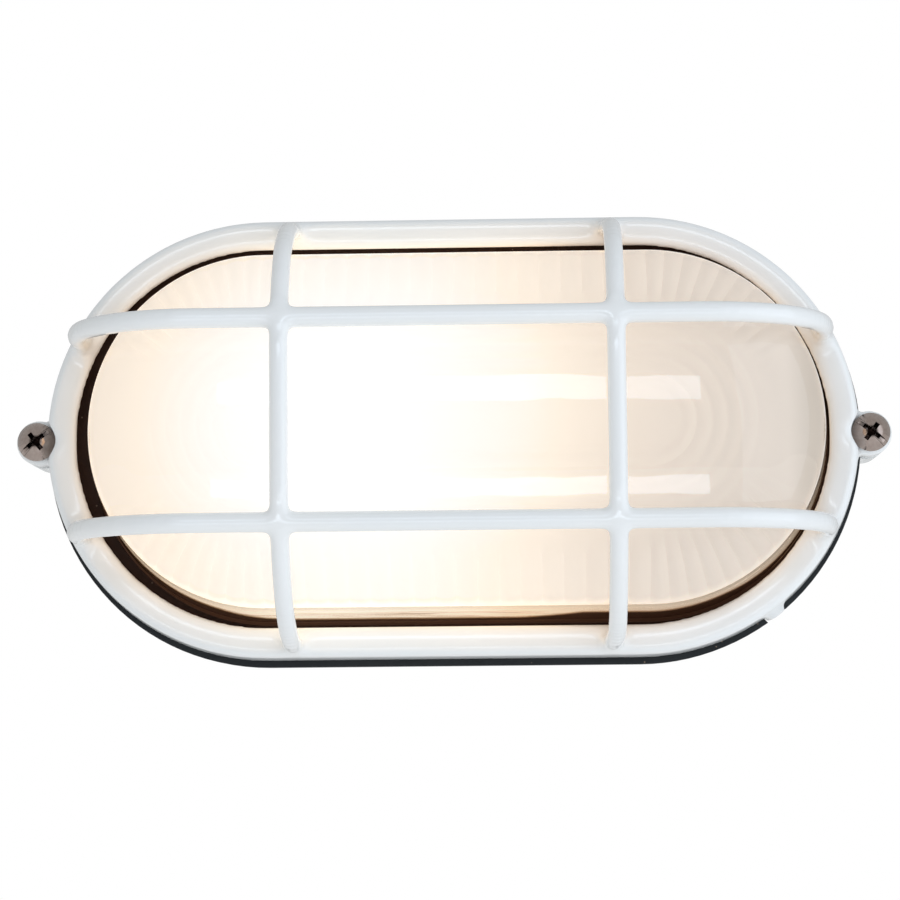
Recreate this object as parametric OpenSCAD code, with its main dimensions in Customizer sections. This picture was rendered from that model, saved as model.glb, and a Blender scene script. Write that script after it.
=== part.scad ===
// Oval bulkhead light: cast base, pressed glass in a rubber seal, cast guard and a screw lamp.
// X runs along the light, Z is up, the front faces -Y and the back lies on the plane y = 0.

/* [Guard rim] */
// Length of the rim
rim_l = 252; // [220:1:300]
// Height of the rim
rim_h = 136; // [124:1:170]
// Depth of the rim from its crest to its seat on the gasket
rim_depth = 12; // [10:0.5:16]
// Width of the rim's face
rim_band = 9.1; // [8.5:0.1:11]
// Wall of the rim
rim_wall = 2.6; // [2:0.1:3.4]
// Radius of the bead along the rim's outer edge, which is its crest
crest_r = 1.6; // [1.4:0.1:2]
// Drop from the bead to the flat face of the rim
face_drop = 0.5; // [0.2:0.1:0.8]
// Radius of the rounded inner lip
lip_round = 1.5; // [1:0.1:2]
// How far the lip reaches in past the leg that presses the gasket
lip_reach = 2; // [1.8:0.1:2.4]
// How far the rim flares out from its bead to its seat
skirt_flare = 1.2; // [0.5:0.1:2]
// Direction of the locating lug from the middle of the right end
lug_angle = -53; // [-80:1:-30]
// Width of the locating lug
lug_w = 5; // [3:0.5:8]
// How far the locating lug stands out past the gasket
lug_out = 0.6; // [0.5:0.1:2]

/* [Guard bars] */
// Diameter of the lengthwise bars
long_bar_d = 6; // [5:0.1:7]
// Diameter of the cross bars
cross_bar_d = 5.4; // [4.5:0.1:5.6]
// Height of the cross bars' middle line above the crest
bar_rise = 50; // [44:1:60]
// Distance between the lengthwise bars
long_bar_gap = 60.4; // [50:0.2:70]
// Distance between the cross bars
cross_bar_gap = 98; // [80:1:110]
// Bend radius of the lengthwise bars
long_bend = 40; // [25:1:43]
// Bend radius of the cross bars
cross_bend = 47; // [30:1:47]
// Fillet where a bar meets the rim
root_fillet = 4; // [2:0.5:6]
// Fillet where two bars cross
cross_fillet = 3; // [2:0.5:5]

/* [Glass] */
// Wall of the glass
glass_t = 3.5; // [3:0.1:5]
// Height of the glass above the crest
glass_rise = 40; // [34:1:42]
// Gap between the lip of the rim and the foot of the dome
glass_gap = 1.1; // [1:0.1:3]
// Taper of the dome's side
glass_draft = 3.8; // [3.4:0.1:5]
// Radius of the dome's shoulder
shoulder_r = 18; // [12:1:24]
// Radius of the crowned front
crown_r = 150; // [110:5:250]
// Width of the flange round the dome
flange_w = 5; // [3.5:0.1:5.4]
// Thickness of the flange
flange_t = 4; // [3:0.5:6]
// Width of one flute inside the side wall
flute_pitch = 6.5; // [4:0.5:10]
// Depth of the flutes
flute_depth = 1; // [0.5:0.1:1.5]
// Distance between the ribs inside the front
rib_pitch = 4.6; // [3:0.2:6]
// Radius of the ribs
rib_r = 0.9; // [0.5:0.1:1.2]
// How far the glass sits to the right of the middle of its seat
glass_off_x = 1.8; // [0:0.1:1.8]
// How far the glass sits above the middle of its seat
glass_off_up = 0; // [0:0.1:1]

/* [Gasket] */
// Thickness of the gasket's two legs
gasket_leg = 2; // [1.5:0.1:3]
// How far the gasket stands out past the rim
gasket_proud = 2.2; // [2.2:0.1:4]
// How far the seal sits below the middle of the rim
gasket_sag = 0.8; // [0:0.1:0.8]
// How far the gasket shows past the foot of the dome
gasket_show = 0.3; // [0.2:0.1:0.6]

/* [Base] */
// Depth of the base
base_depth = 30; // [26:1:40]
// Wall and floor of the base
base_wall = 3; // [2.5:0.1:4]
// Thickness of the base's flange
base_flange_t = 4; // [3:0.5:6]
// How far the flange stands out from the wall
base_flange_w = 4.5; // [3:0.5:6]
// Taper of the base's wall
base_draft = 3; // [1:0.5:5]
// Radius of the base's back edge
back_round = 4; // [2:0.5:6]
// Height of the bosses that carry the lampholder
boss_h = 7; // [5:0.5:10]

/* [Wall fixing] */
// Distance between the two fixing holes
fixing_span = 88.9; // [80:0.1:92]
// Diameter of the fixing holes
fixing_d = 5.5; // [4.5:0.1:7]
// Diameter of the rear cable entry in the base
entry_d = 20; // [16:0.5:24]
// Diameter of the grommet's bore
grommet_bore = 12; // [8:0.5:13]

/* [Cover screws] */
// Distance between the cover screws
screw_span = 260.4; // [258:0.2:266]
// Thread diameter of the cover screws
screw_d = 6; // [5:0.5:6]
// Diameter of the screw heads
head_d = 12; // [10:0.5:13]
// Height of the screw heads
head_h = 4.2; // [3:0.1:5]
// Radius of the ears
ear_r = 7; // [6.8:0.1:8]
// Depth of the ears' seat below the crest
seat_drop = 8; // [6:0.5:10]
// Thickness of the washers under the heads
washer_t = 1; // [0.5:0.1:2]

/* [Lamp and holder] */
// Diameter of the lamp's globe
lamp_d = 60; // [45:1:64]
// Length of the lamp with its cap
lamp_l = 106; // [95:1:115]
// Place of the globe's centre along the light
lamp_x = -10; // [-14:1:-4]
// Height of the lamp's axis above the back
lamp_z = 44; // [40:1:50]
// Diameter of the lamp's cap
cap_d = 26; // [24:0.5:27]
// Diameter of the porcelain lampholder
holder_d = 38; // [36:1:42]

/* [Wiring] */
// Diameter of the insulated leads
lead_d = 2.6; // [2:0.1:3]
// Distance between the ways of the terminal block
way_pitch = 13; // [11:0.5:14]

/* [Hidden] */
$fn = 72;
fit_gap = 0.1;
clear_gap = 0.3;
over = 1;
rim_r = rim_h / 2;
run = (rim_l - rim_h) / 2;
gasket_z = base_depth;
flange_z = gasket_z + gasket_leg;
rim_z = flange_z + flange_t + gasket_leg;
crest_z = rim_z + rim_depth;
seat_z = crest_z - seat_drop;
face_z = crest_z - face_drop;
plate_z = face_z - rim_wall;
lip_r = rim_r - rim_band;
leg_r = lip_r + lip_reach;
lug_drop = 2 * gasket_leg + flange_t + base_flange_t / 2;
screw_x = screw_span / 2;

long_bar_r = long_bar_d / 2;
cross_bar_r = cross_bar_d / 2;
root_in = 0.4;
root_r = rim_r - long_bar_r - root_in;
long_y = long_bar_gap / 2;
cross_x = cross_bar_gap / 2;
long_half = run + sqrt(root_r * root_r - long_y * long_y);
long_angle = asin(long_y / root_r);
fillet_bite = 0.25;
cross_arc = min(cross_bend, bar_rise - over);
bend_y = max(0, long_y - (root_r - cross_arc));
cross_z = crest_z + bar_rise;
long_z = cross_z - cross_arc + sqrt(cross_arc * cross_arc - bend_y * bend_y);

dome_r = lip_r - glass_gap;
flange_r = dome_r + flange_w;
crown_z = crest_z + glass_rise;
wall_r = dome_r - glass_draft - glass_t;

wall_top_r = rim_r - base_flange_w;
wall_back_r = wall_top_r - base_draft;
boss_z = base_wall + boss_h;

cap_end_x = lamp_x + lamp_l - lamp_d / 2;
cap_l = 27;
tip_h = 1.2;
holder_rear = 14;
holder_flat_w = 24;
holder_swell = 8;
shell_t = 0.6;
shell_open_r = 8.5;
shell_r = cap_d / 2 + 1;
holder_mouth_x = cap_end_x - 22;
holder_floor_x = cap_end_x + 3.6;
holder_back_x = cap_end_x + 14;
holder_side = holder_d / 2;
plate_x = holder_back_x - 7;
plate_t = 1.2;
plate_h = 10;
plate_w = 8;
sheet_t = 1.5;
bracket_w = 26;
bracket_screw_x = holder_back_x + sheet_t + 9;
bracket_screw_y = 8;
holder_screw_y = 9;
holder_screw_z = lamp_z + 8;
holder_screw_l = 9;
plate_screw_l = 6;
small_d = 3;
small_r = small_d / 2;
stout_d = 4;
stout_hole_r = 2.2;
screw_head_h = 2;
stout_head_h = 2.6;
bracket_boss_r = 4.5;
earth_boss_r = 5;
fixing_boss_w = 5;
fixing_boss_h = 3;
rivet_x = 5;
rivet_head_r = 2.2;
rivet_head_h = 0.8;
rivet_l = 7;
contact_w = 6;
contact_x = 1;
contact_l = 6.5;
contact_reach = 5;

block_x = -76;
block_w = 20;
block_h = 16;
block_foot_h = 6;
block_screw_d = 2.4;
block_face_x = block_x + block_w / 2;
way_z = base_wall + 8;
sleeve_r = 3;
sleeve_bore_r = 1.8;
way_screw_x = 5;
earth_x = -40;
earth_y = -34;
earth_boss_h = 5;
earth_z = base_wall + earth_boss_h;
tag_t = 0.8;
tag_reach = 14;
earth_angle = atan2(-way_pitch - earth_y, block_face_x - earth_x);
lead_side_y = wall_back_r - base_wall - 5;
lead_low_z = base_wall + 3.6;
lead_end_y = holder_side + plate_t + 0.4;
lead_end_z = lamp_z - plate_h / 2 - clear_gap;

// Turns a shape drawn with its depth along z so that the depth runs out of the wall.
module outward() {
  rotate([90, 0, 0]) children();
}

// Oval outline: two half circles joined by straight runs.
module oval(r) {
  square([2 * run, 2 * r], center = true);
  for (side = [-1, 1]) translate([side * run, 0]) circle(r);
}

module oval_prism(r, z, h) {
  translate([0, 0, z]) linear_extrude(h) oval(r);
}

// Carries a section drawn in radius and depth once round the oval.
module oval_sweep() {
  for (turn = [0, 180]) rotate([0, 0, turn]) {
    translate([run, 0, 0]) rotate([0, 0, -90]) rotate_extrude(angle = 180) children();
    translate([-run, 0, 0]) rotate([90, 0, 90]) linear_extrude(2 * run) children();
  }
}

module at_screws() {
  for (side = [-1, 1]) translate([side * screw_x, 0, 0]) children();
}

function arc(x, y, r, from, to, steps) =
  [for (i = [0 : steps]) let (t = from + (to - from) * i / steps) [x + r * cos(t), y + r * sin(t)]];

// Pan head with its shank below z = 0 and a slot, and a deep cross recess if asked for.
module pan_screw(d, head, rise, length, crossed = false) {
  dome = (head * head / 4 + rise * rise) / (2 * rise) + 1;
  slot_w = head * 0.11;
  arm_w = head * 0.125;
  arm_l = head * 0.52;
  difference() {
    union() {
      rotate_extrude() intersection() {
        translate([0, rise - dome]) circle(dome);
        square([head / 2, rise]);
      }
      translate([0, 0, -length]) cylinder(d = d, h = length + 0.1);
    }
    translate([-head, -slot_w / 2, rise * 0.55]) cube([2 * head, slot_w, rise]);
    if (crossed) for (turn = [0, 90]) rotate([0, 0, turn])
      translate([-arm_l / 2, -arm_w / 2, rise * 0.2]) cube([arm_l, arm_w, rise]);
  }
}

// Base pan

module base_section() {
  polygon(concat(
    [[0, 0]],
    arc(wall_back_r - back_round, back_round, back_round, -90, 0, 6),
    [
      [wall_top_r, base_depth - base_flange_t],
      [rim_r, base_depth - base_flange_t],
      [rim_r, base_depth],
      [wall_top_r - base_wall, base_depth],
      [wall_back_r - base_wall, base_wall],
      [0, base_wall]
    ]
  ));
}

module base() {
  ear_h = 16;
  web_w = 8;
  tap_r = screw_d / 2 + fit_gap / 2;
  color("whitesmoke") outward() difference() {
    union() {
      oval_sweep() base_section();
      at_screws() translate([0, 0, base_depth - ear_h]) cylinder(r = ear_r, h = ear_h);
      for (side = [0, 180]) rotate([0, 0, side]) {
        translate([run + wall_back_r - base_wall / 2, -web_w / 2, base_depth - ear_h])
          cube([screw_x - run - wall_back_r + base_wall / 2, web_w, ear_h - 1]);
      }
      for (side = [-1, 1]) translate([0, side * fixing_span / 2, 0])
        cylinder(d = fixing_d + fixing_boss_w, h = base_wall + fixing_boss_h);
      for (side = [-1, 1]) translate([bracket_screw_x, side * bracket_screw_y, 0])
        cylinder(r = bracket_boss_r, h = boss_z);
      translate([earth_x, earth_y, 0]) cylinder(r = earth_boss_r, h = earth_z);
    }
    at_screws() translate([0, 0, base_depth - ear_h + 2]) cylinder(r = tap_r, h = ear_h);
    for (side = [-1, 1]) translate([0, side * fixing_span / 2, -1]) cylinder(d = fixing_d, h = base_depth);
    translate([0, 0, -over]) cylinder(d = entry_d, h = base_depth);
    for (side = [-1, 1]) {
      translate([bracket_screw_x, side * bracket_screw_y, base_wall])
        cylinder(d = stout_d + fit_gap, h = boss_z);
    }
    translate([earth_x, earth_y, 1]) cylinder(d = stout_d + fit_gap, h = earth_z);
    at_block_screws() translate([0, 0, 1]) cylinder(d = block_screw_d + fit_gap, h = earth_z);
  }
}

// Guard: rim, bars, ears and lug in one casting

module rim_section() {
  translate([rim_r - crest_r, crest_z - crest_r]) circle(crest_r);
  translate([lip_r + lip_round, face_z - lip_round]) circle(lip_round);
  polygon([
    [rim_r - crest_r, face_z],
    [lip_r + lip_round, face_z],
    [lip_r, face_z - lip_round],
    [lip_r, plate_z],
    [leg_r, plate_z],
    [leg_r, rim_z],
    [leg_r + rim_wall, rim_z],
    [leg_r + rim_wall, plate_z],
    [rim_r - rim_wall, plate_z],
    [rim_r - rim_wall, rim_z],
    [rim_r + skirt_flare, rim_z],
    [rim_r, crest_z - crest_r],
    [rim_r - crest_r, crest_z - crest_r]
  ]);
}

// Web with hollow sides along the rim, at the foot of a bar. Its curves run a little way into both.
module root_web(r) {
  side = r + root_fillet - fillet_bite;
  web_t = 1.6 * r;
  translate([0, web_t / 2, face_z]) rotate([90, 0, 0]) linear_extrude(web_t) difference() {
    translate([-side, -rim_wall / 2]) square([2 * side, rim_wall / 2 + root_fillet - fillet_bite]);
    for (x = [-1, 1]) translate([x * side, root_fillet - fillet_bite]) circle(root_fillet);
  }
}

// Bar that rises from the rim at both ends, bends and runs straight across.
module bar_arch(r, half, top, bend) {
  foot_z = face_z - rim_wall / 2;
  translate([bend - half, 0, top]) rotate([0, 90, 0]) cylinder(r = r, h = 2 * (half - bend));
  for (turn = [0, 180]) rotate([0, 0, turn]) {
    translate([half - bend, 0, top - bend]) rotate([90, 0, 0])
      rotate_extrude(angle = 90) translate([bend, 0]) circle(r);
    translate([half, 0, foot_z]) cylinder(r = r, h = top - bend - foot_z);
  }
}

// Web with hollow corners that fills the four corners where two bars cross.
module crossing_fillet() {
  side = cross_bar_r + cross_fillet;
  thick = cross_bar_r * 1.1;
  bite = cross_bar_r * 0.25;
  translate([0, 0, -thick / 2]) linear_extrude(thick) difference() {
    square(2 * side, center = true);
    for (x = [-1, 1], y = [-1, 1]) translate([x * side, y * side]) circle(cross_fillet + bite);
  }
}

// Tongue on the rim that drops over the seal into a notch of it, so the guard goes on one way.
module at_lug() {
  translate([run, 0, 0]) rotate([0, 0, lug_angle]) children();
}

module lug() {
  out_r = rim_r + gasket_proud + lug_out;
  in_r = rim_r + clear_gap;
  at_lug() {
    translate([rim_r - rim_wall / 2, 0, rim_z]) linear_extrude(rim_depth / 2)
      lug_outline(out_r - rim_r + rim_wall / 2);
    translate([in_r, 0, rim_z - lug_drop]) linear_extrude(lug_drop + 1) lug_outline(out_r - in_r);
  }
}

module lug_outline(deep, spare = 0) {
  half = lug_w / 2 + spare;
  polygon([[0, -half - 1], [0, half + 1], [deep, half], [deep, -half]]);
}

module guard() {
  ear_z = base_depth + clear_gap;
  color("white") outward() difference() {
    union() {
      oval_sweep() rim_section();
      for (side = [-1, 1]) {
        translate([0, side * long_y, 0]) bar_arch(long_bar_r, long_half, long_z, long_bend);
        translate([side * cross_x, 0, 0]) rotate([0, 0, 90])
          bar_arch(cross_bar_r, root_r, cross_z, cross_arc);
        for (up = [-1, 1]) translate([side * cross_x, up * long_y, long_z]) crossing_fillet();
      }
      for (turn = [0, 180], up = [-1, 1]) rotate([0, 0, turn]) {
        translate([run, 0, 0]) rotate([0, 0, up * long_angle - 90]) translate([0, root_r, 0])
          root_web(long_bar_r);
        translate([up * cross_x, root_r, 0]) root_web(cross_bar_r);
      }
      at_screws() translate([0, 0, ear_z]) cylinder(r = ear_r, h = seat_z - ear_z);
      lug();
    }
    at_screws() translate([0, 0, seat_z]) cylinder(d = head_d + 4 * clear_gap, h = rim_depth);
    at_screws() translate([0, 0, base_depth - over])
      cylinder(d = screw_d + 2 * clear_gap, h = rim_depth + base_depth);
  }
}

// Glass dome with a flange, fluted side and ribbed front

// Section of a crowned dome in radius and depth, from its foot to the middle of its front.
function dome(foot_r, foot_z, top_r, shoulder, crown, top_z) =
  let (
    x = top_r - shoulder,
    z = top_z - crown + sqrt(pow(crown - shoulder, 2) - x * x),
    meet = atan2(z - top_z + crown, x)
  )
  concat(
    [[0, foot_z], [foot_r, foot_z]],
    arc(x, z, shoulder, 0, meet, 10),
    [for (p = arc(0, top_z - crown, crown, meet, 90, 8)) if (p[0] < top_r - shoulder) p]
  );

function shoulder_z(top_r, shoulder, crown, top_z) =
  top_z - crown + sqrt(pow(crown - shoulder, 2) - pow(top_r - shoulder, 2));

// Outline of the fluted hollow: a row of shallow scallops round the oval.
function flutes(r, depth, pitch) =
  let (
    steps = 4,
    ends = round(PI * r / pitch) * steps,
    sides = round(2 * run / pitch) * steps,
    bulge = function(i) r + depth * sin(180 * (i % steps) / steps)
  )
  [
    for (turn = [0, 180], part = [0, 1], i = [0 : (part == 0 ? ends : sides) - 1])
      let (
        angle = -90 + 180 * i / ends,
        p = part == 0
          ? [run + bulge(i) * cos(angle), bulge(i) * sin(angle)]
          : [run - 2 * run * i / sides, bulge(i)]
      )
      [p[0] * cos(turn), p[1] * cos(turn)]
  ];

module glass() {
  in_shoulder = shoulder_r - glass_t;
  in_crown = crown_r - glass_t;
  in_top = crown_z - glass_t;
  hollow_r = wall_r - flute_depth;
  wall_z = shoulder_z(hollow_r, in_shoulder, in_crown, in_top);
  first_rib = 10;
  ribs = floor((hollow_r - in_shoulder - first_rib) / rib_pitch);
  color("wheat") outward() translate([glass_off_x, glass_off_up, 0]) difference() {
    union() {
      oval_prism(flange_r, flange_z, flange_t);
      oval_sweep() polygon(dome(dome_r, flange_z, dome_r - glass_draft, shoulder_r, crown_r, crown_z));
    }
    translate([0, 0, flange_z - 1]) linear_extrude(wall_z - flange_z + 1)
      polygon(flutes(hollow_r, flute_depth, flute_pitch));
    oval_sweep() difference() {
      polygon(dome(hollow_r, wall_z - 1, hollow_r, in_shoulder, in_crown, in_top));
      for (i = [0 : ribs]) let (r = first_rib + i * rib_pitch) {
        translate([r, in_top - in_crown + sqrt(in_crown * in_crown - r * r)]) circle(rib_r);
      }
    }
  }
}

// Rubber seal round the flange of the glass

module gasket() {
  tall = rim_z - gasket_z;
  color("#34302d") outward() difference() {
    translate([0, -gasket_sag, 0]) oval_prism(rim_r + gasket_proud, gasket_z, tall);
    translate([glass_off_x, glass_off_up, 0]) {
      oval_prism(dome_r + gasket_show, gasket_z - 1, tall + 2);
      oval_prism(flange_r + fit_gap, flange_z, flange_t);
    }
    at_screws() translate([0, 0, gasket_z - 1]) cylinder(r = ear_r + clear_gap, h = tall + 2);
    at_lug() translate([rim_r, 0, gasket_z - 1]) linear_extrude(tall + 2) lug_outline(10, clear_gap);
  }
}

// Cover screws and their washers

module cover_screws() {
  reach = seat_z + washer_t - base_depth + 11;
  slot_turn = 38;
  color("silver") outward() for (side = [-1, 1]) {
    translate([side * screw_x, 0, seat_z + washer_t]) rotate([0, 0, -side * slot_turn])
      pan_screw(screw_d - fit_gap, head_d, head_h, reach, crossed = true);
  }
}

module screw_washers() {
  color("dimgray") outward() at_screws() translate([0, 0, seat_z]) difference() {
    cylinder(d = head_d - 0.4, h = washer_t);
    translate([0, 0, -over]) cylinder(d = screw_d + fit_gap, h = washer_t + 2);
  }
}

// Grommet in the rear cable entry

module cable_grommet() {
  lip_w = 3;
  lip_t = 2;
  color("#2b2b2b") outward() rotate_extrude() polygon([
    [grommet_bore / 2, 0.3],
    [entry_d / 2 - fit_gap, 0.3],
    [entry_d / 2 - fit_gap, base_wall],
    [entry_d / 2 + lip_w, base_wall],
    [entry_d / 2 + lip_w - 1, base_wall + lip_t],
    [grommet_bore / 2, base_wall + lip_t]
  ]);
}

// Lamp and lampholder, drawn along z from the lamp's tip and laid along x

module along_lamp(x) {
  outward() translate([x, 0, lamp_z]) rotate([0, 90, 0]) children();
}

module lamp() {
  globe_r = lamp_d / 2;
  neck_r = cap_d / 2 + 0.8;
  neck_z = lamp_l - cap_l - globe_r;
  leave = 48;
  color("ivory") along_lamp(lamp_x) rotate_extrude() {
    intersection() {
      circle(globe_r);
      translate([0, -globe_r]) square([globe_r, 2 * globe_r]);
    }
    polygon([
      [0, 0],
      [globe_r * sin(leave), globe_r * cos(leave)],
      [neck_r, neck_z],
      [cap_d / 2, neck_z],
      [cap_d / 2, neck_z + cap_l - 4],
      [cap_d / 4, neck_z + cap_l],
      [cap_d / 5, neck_z + cap_l + tip_h],
      [0, neck_z + cap_l + tip_h]
    ]);
  }
}

module lampholder_body() {
  deep = holder_back_x - holder_mouth_x;
  color("#eae4d6") difference() {
    along_lamp(holder_mouth_x) difference() {
      union() {
        cylinder(d = holder_d, h = deep - holder_rear);
        translate([0, 0, deep - holder_rear]) linear_extrude(holder_rear) intersection() {
          circle(d = holder_d + holder_swell);
          square([holder_flat_w, holder_d], center = true);
        }
      }
      translate([0, 0, -over]) cylinder(r = shell_r + fit_gap, h = holder_floor_x - holder_mouth_x + 1);
      translate([rivet_x, 0, 0]) cylinder(r = small_r + fit_gap, h = deep - small_d);
    }
    outward() for (side = [-1, 1]) {
      translate([holder_back_x - holder_screw_l, side * holder_screw_y, holder_screw_z]) rotate([0, 90, 0])
        cylinder(d = small_d + fit_gap, h = holder_screw_l + over);
      translate([plate_x, side * (holder_side - plate_screw_l), lamp_z]) rotate([-side * 90, 0, 0])
        cylinder(d = small_d + fit_gap, h = holder_screw_l + over);
    }
  }
}

module lampholder_shell() {
  deep = holder_floor_x - holder_mouth_x - 2;
  color("#c9a560") along_lamp(holder_mouth_x + 2) difference() {
    cylinder(r = shell_r, h = deep);
    translate([0, 0, -over]) cylinder(r = shell_r - shell_t, h = deep + 1 - shell_t);
    cylinder(r = shell_open_r, h = deep + 1);
  }
}

module lampholder_contact() {
  free = holder_floor_x - cap_end_x - tip_h;
  color("#c9a560") along_lamp(holder_floor_x) {
    difference() {
      translate([contact_x, -contact_w / 2, -shell_t]) cube([contact_l, contact_w, shell_t]);
      translate([rivet_x, 0, -over]) cylinder(r = small_r + fit_gap, h = 2 * over);
    }
    translate([contact_x, -contact_w / 2, -free + fit_gap]) cube([shell_t, contact_w, free - fit_gap]);
    translate([-contact_reach, -contact_w / 2, -free + fit_gap])
      cube([contact_reach + contact_x + shell_t, contact_w, shell_t]);
  }
}

module contact_rivet() {
  color("#b08d4a") along_lamp(holder_floor_x) translate([rivet_x, 0, -shell_t - rivet_head_h]) {
    cylinder(r = rivet_head_r, h = rivet_head_h);
    cylinder(r = small_r, h = rivet_l);
  }
}

module at_plates() {
  for (side = [-1, 1]) translate([plate_x, side * holder_side, lamp_z]) rotate([-side * 90, 0, 0]) children();
}

module terminal_plates() {
  color("#c9a560") outward() at_plates() difference() {
    translate([-plate_w / 2, -plate_h / 2, 0]) cube([plate_w, plate_h, plate_t]);
    translate([0, 0, -over]) cylinder(r = small_r + fit_gap, h = plate_t + 2 * over);
  }
}

module holder_terminal_screws() {
  color("#c9a560") outward() at_plates() translate([0, 0, plate_t])
    pan_screw(small_d, 2 * small_d, screw_head_h, plate_screw_l);
}

module holder_bracket() {
  foot_l = 18;
  top = lamp_z + 12;
  color("lightsteelblue") outward() difference() {
    translate([holder_back_x, bracket_w / 2, 0]) rotate([90, 0, 0]) linear_extrude(bracket_w) polygon([
      [0, boss_z],
      [sheet_t + foot_l, boss_z],
      [sheet_t + foot_l, boss_z + sheet_t],
      [sheet_t, boss_z + sheet_t],
      [sheet_t, top],
      [0, top]
    ]);
    for (side = [-1, 1]) {
      translate([bracket_screw_x, side * bracket_screw_y, 0])
        cylinder(r = stout_hole_r, h = boss_z + 2 * stout_d);
      translate([holder_back_x - over, side * holder_screw_y, holder_screw_z]) rotate([0, 90, 0])
        cylinder(r = small_r + 2 * fit_gap, h = sheet_t + 2 * over);
    }
  }
}

module holder_screws() {
  color("silver") outward() for (side = [-1, 1]) {
    translate([holder_back_x + sheet_t, side * holder_screw_y, holder_screw_z]) rotate([0, 90, 0])
      pan_screw(small_d, 1.87 * small_d, screw_head_h, holder_screw_l);
  }
}

module bracket_screws() {
  color("silver") outward() for (side = [-1, 1]) {
    translate([bracket_screw_x, side * bracket_screw_y, boss_z + sheet_t])
      pan_screw(stout_d, 2 * stout_d, stout_head_h, boss_h);
  }
}

// Terminal block on the floor of the base

module at_ways() {
  for (way = [-1, 0, 1]) translate([block_x, way * way_pitch, way_z]) children();
}

module at_block_screws() {
  for (side = [-1, 1]) translate([block_x, side * way_pitch / 2, 0]) children();
}

module terminal_block() {
  tower_w = 2 * sleeve_r + 2.4;
  long = 3 * way_pitch + 2;
  color("#e3dfd2") outward() difference() {
    union() {
      translate([block_x - block_w / 2, -long / 2, base_wall]) cube([block_w, long, block_foot_h]);
      for (way = [-1, 0, 1]) {
        translate([block_x - block_w / 2, way * way_pitch - tower_w / 2, base_wall])
          cube([block_w, tower_w, block_h]);
      }
    }
    at_ways() {
      translate([-block_w, 0, 0]) rotate([0, 90, 0]) cylinder(r = sleeve_r + fit_gap, h = 2 * block_w);
      for (side = [-1, 1]) translate([side * way_screw_x, 0, 0])
        cylinder(r = small_r + 4 * fit_gap, h = block_h);
    }
    at_block_screws() cylinder(d = block_screw_d + 2 * fit_gap, h = block_h);
  }
}

module terminal_sleeves() {
  color("#c9a560") outward() at_ways() difference() {
    translate([1 - block_w / 2, 0, 0]) rotate([0, 90, 0]) cylinder(r = sleeve_r, h = block_w - 2);
    for (side = [-1, 1]) translate([side * block_w / 2, 0, 0]) rotate([0, 90, 0])
      cylinder(r = sleeve_bore_r, h = block_w - 4, center = true);
    for (side = [-1, 1]) translate([side * way_screw_x, 0, 0])
      cylinder(d = small_d + fit_gap, h = 2 * sleeve_r);
  }
}

module terminal_screws() {
  way_screw_l = 6;
  slot_w = 0.6;
  color("silver") outward() at_ways() {
    for (side = [-1, 1]) translate([side * way_screw_x, 0, 0.5]) difference() {
      cylinder(d = small_d, h = way_screw_l);
      translate([-small_d, -slot_w / 2, way_screw_l - over]) cube([2 * small_d, slot_w, 2 * over]);
    }
  }
}

module block_screws() {
  color("silver") outward() at_block_screws() translate([0, 0, base_wall + block_foot_h])
    pan_screw(block_screw_d, 4.2, 1.8, block_foot_h + base_wall - 1.5);
}

// Insulated leads, swept along smooth routes through a few points

function spline(p, a, t) =
  let (n = len(p) - 1, p0 = p[max(a - 1, 0)], p1 = p[a], p2 = p[a + 1], p3 = p[min(a + 2, n)])
  0.5 * (2 * p1 + (p2 - p0) * t + (2 * p0 - 5 * p1 + 4 * p2 - p3) * t * t
    + (3 * p1 - p0 - 3 * p2 + p3) * t * t * t);

function route(p, steps) =
  concat([for (a = [0 : len(p) - 2], i = [0 : steps - 1]) spline(p, a, i / steps)], [p[len(p) - 1]]);

function unit(v) = v / norm(v);

function headings(p) =
  [for (i = [0 : len(p) - 1]) unit(p[min(i + 1, len(p) - 1)] - p[max(i - 1, 0)])];

function sides_of(dirs, i, last) =
  i == len(dirs) ? [] :
  let (n = unit(last - (last * dirs[i]) * dirs[i])) concat([n], sides_of(dirs, i + 1, n));

module lead(points, r) {
  around = 8;
  path = route(points, 4);
  dirs = headings(path);
  out = sides_of(dirs, 0, [0.1, 0.2, 1]);
  rings = len(path);
  skin = [
    for (k = [0 : rings - 1], j = [0 : around - 1])
      path[k] + r * (cos(360 * j / around) * out[k] + sin(360 * j / around) * cross(dirs[k], out[k]))
  ];
  polyhedron(skin, concat(
    [[for (j = [0 : around - 1]) j]],
    [[for (j = [0 : around - 1]) rings * around - 1 - j]],
    [
      for (k = [0 : rings - 2], j = [0 : around - 1])
        let (a = k * around + j, b = k * around + (j + 1) % around)
        [a, a + around, b + around, b]
    ]
  ), convexity = 6);
}

module live_lead() {
  color("saddlebrown") outward() lead([
    [block_face_x, way_pitch, way_z],
    [block_face_x + 8, way_pitch + 3, way_z - 1],
    [-44, lead_side_y - 10, lead_low_z],
    [-20, lead_side_y, lead_low_z],
    [plate_x - 16, lead_side_y, lead_low_z],
    [plate_x - 2, lead_side_y - 8, lead_low_z + 5],
    [plate_x, lead_end_y + 7, lead_end_z - 14],
    [plate_x, lead_end_y + 1, lead_end_z - 5],
    [plate_x, lead_end_y, lead_end_z]
  ], lead_d / 2);
}

module neutral_lead() {
  color("steelblue") outward() lead([
    [block_face_x, 0, way_z],
    [block_face_x + 8, 0, way_z - 1],
    [-42, -10, lead_low_z],
    [-24, -30, lead_low_z],
    [-14, -lead_side_y + 3, lead_low_z],
    [2, -lead_side_y - 0.6, lead_low_z],
    [plate_x - 16, -lead_side_y, lead_low_z],
    [plate_x - 2, -lead_side_y + 8, lead_low_z + 5],
    [plate_x, -lead_end_y - 7, lead_end_z - 14],
    [plate_x, -lead_end_y - 1, lead_end_z - 5],
    [plate_x, -lead_end_y, lead_end_z]
  ], lead_d / 2);
}

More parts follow.
